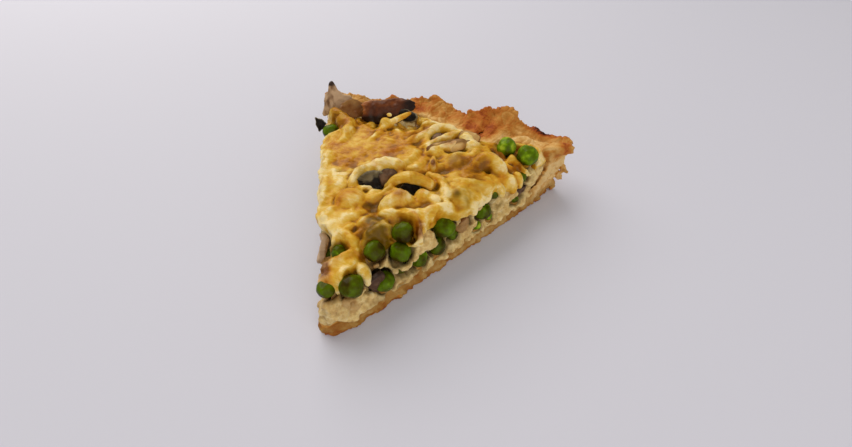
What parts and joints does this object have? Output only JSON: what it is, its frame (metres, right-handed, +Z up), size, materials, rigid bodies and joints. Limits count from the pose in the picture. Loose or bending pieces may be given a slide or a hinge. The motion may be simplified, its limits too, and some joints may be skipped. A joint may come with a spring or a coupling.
{
  "type": "slice of mushroom tart",
  "caption": "Wedge cut from a round savoury tart: pastry base with a ragged folded rim, custard filling with mushrooms and peas, browned cheese on top.",
  "frame": {"origin": "on the flat underside of the pastry base, on the slice's mid-line, half way between its tip and its rim", "axes": "+Z up, out of the underside; +Y from the slice's tip towards the rim; +X towards the right cut as seen from the tip"},
  "size_m": [0.1338, 0.1268, 0.0377],
  "materials": {
    "crust": "baked shortcrust pastry, matt and crumbly",
    "filling": "set egg custard, satin",
    "cheese": "melted and browned cheese, oily gloss",
    "pea": "cooked green pea, satin skin",
    "mushroom_brown": "roasted mushroom cap, dry and browned",
    "mushroom_mauve": "cooked mushroom flesh, grey-brown",
    "mushroom_black": "mushroom gills and char, near black",
    "mushroom_pale": "cooked mushroom flesh, cream"
  },
  "bodies": {
    "root": {"crust": "crust", "filling": "filling", "cheese": "cheese", "pea_01": "pea", "pea_02": "pea", "pea_03": "pea", "pea_04": "pea", "pea_05": "pea", "pea_06": "pea", "pea_07": "pea", "pea_08": "pea", "pea_09": "pea", "pea_10": "pea", "pea_11": "pea", "pea_12": "pea", "pea_13": "pea", "pea_14": "pea", "pea_15": "pea", "pea_16": "pea", "pea_17": "pea", "pea_18": "pea", "pea_19": "pea", "pea_20": "pea", "pea_21": "pea", "pea_22": "pea", "pea_23": "pea", "pea_24": "pea", "pea_25": "pea", "pea_26": "pea", "pea_27": "pea", "pea_28": "pea", "pea_29": "pea", "pea_30": "pea", "mushroom_cap": "mushroom_brown", "mushroom_cap_left": "mushroom_pale", "mushroom_corner": "mushroom_mauve", "mushroom_chip_black": "mushroom_black", "mushroom_chip_left": "mushroom_black", "mushroom_gills": "mushroom_black", "mushroom_cap_mauve": "mushroom_mauve", "mushroom_under_arch": "mushroom_black", "mushroom_pale_long": "mushroom_pale", "mushroom_pale_lump": "mushroom_pale", "mushroom_in_loop": "mushroom_mauve", "mushroom_cut_brown": "mushroom_mauve", "mushroom_cut_pink": "mushroom_pale", "mushroom_cut_purple": "mushroom_mauve", "mushroom_left_edge": "mushroom_mauve"}
  },
  "joints": []
}
